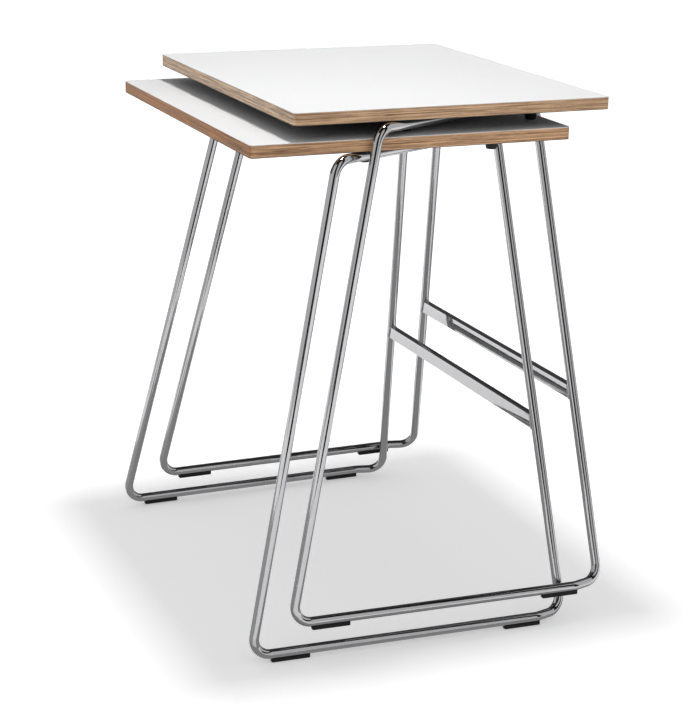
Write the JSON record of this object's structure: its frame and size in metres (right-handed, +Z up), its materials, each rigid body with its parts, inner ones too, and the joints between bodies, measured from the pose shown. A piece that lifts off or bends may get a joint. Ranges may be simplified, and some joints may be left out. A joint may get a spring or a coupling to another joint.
{
  "type": "nesting tables",
  "caption": "Stacking tables with white laminated plywood tops, bent chromed rod loop frames and a flat stretcher bar, one resting on the other.",
  "frame": {"origin": "on the floor, under the middle of the whole stack's footprint", "axes": "+X from the left-hand legs to the right-hand legs, the way each added table is offset; +Y from the near frame to the far frame; +Z up"},
  "size_m": [0.5628, 0.6812, 0.78],
  "materials": {
    "laminate": "smooth white high-pressure laminate",
    "backing": "dark backing laminate",
    "plywood": "lacquered birch plywood edge",
    "chrome": "polished chrome plate",
    "glide_plastic": "black moulded plastic",
    "bumper_rubber": "black moulded rubber",
    "steel": "zinc-plated steel"
  },
  "bodies": {
    "lower_table": {"lower_bumper_far_left": "bumper_rubber", "lower_bumper_far_right": "bumper_rubber", "lower_bumper_near_left": "bumper_rubber", "lower_bumper_near_right": "bumper_rubber", "lower_frame_far": "chrome", "lower_frame_near": "chrome", "lower_glide_far_left": "glide_plastic", "lower_glide_far_right": "glide_plastic", "lower_glide_near_left": "glide_plastic", "lower_glide_near_right": "glide_plastic", "lower_glide_pins": "steel", "lower_lugs_far": "steel", "lower_lugs_near": "steel", "lower_screws": "steel", "lower_stretcher": "chrome", "lower_stretcher_welds": "chrome", "lower_top_core": "plywood", "lower_top_laminate": "laminate", "lower_under_laminate": "backing"},
    "upper_table": {"upper_bumper_far_left": "bumper_rubber", "upper_bumper_far_right": "bumper_rubber", "upper_bumper_near_left": "bumper_rubber", "upper_bumper_near_right": "bumper_rubber", "upper_frame_far": "chrome", "upper_frame_near": "chrome", "upper_glide_far_left": "glide_plastic", "upper_glide_far_right": "glide_plastic", "upper_glide_near_left": "glide_plastic", "upper_glide_near_right": "glide_plastic", "upper_glide_pins": "steel", "upper_lugs_far": "steel", "upper_lugs_near": "steel", "upper_screws": "steel", "upper_stretcher": "chrome", "upper_stretcher_welds": "chrome", "upper_top_core": "plywood", "upper_top_laminate": "laminate", "upper_under_laminate": "backing"}
  },
  "joints": [
    {"name": "upper_table_lift", "type": "slide", "parent": "lower_table", "child": "upper_table", "axis": [0.8403, 0, 0.5421], "range_m": [0, 0.62]}
  ]
}
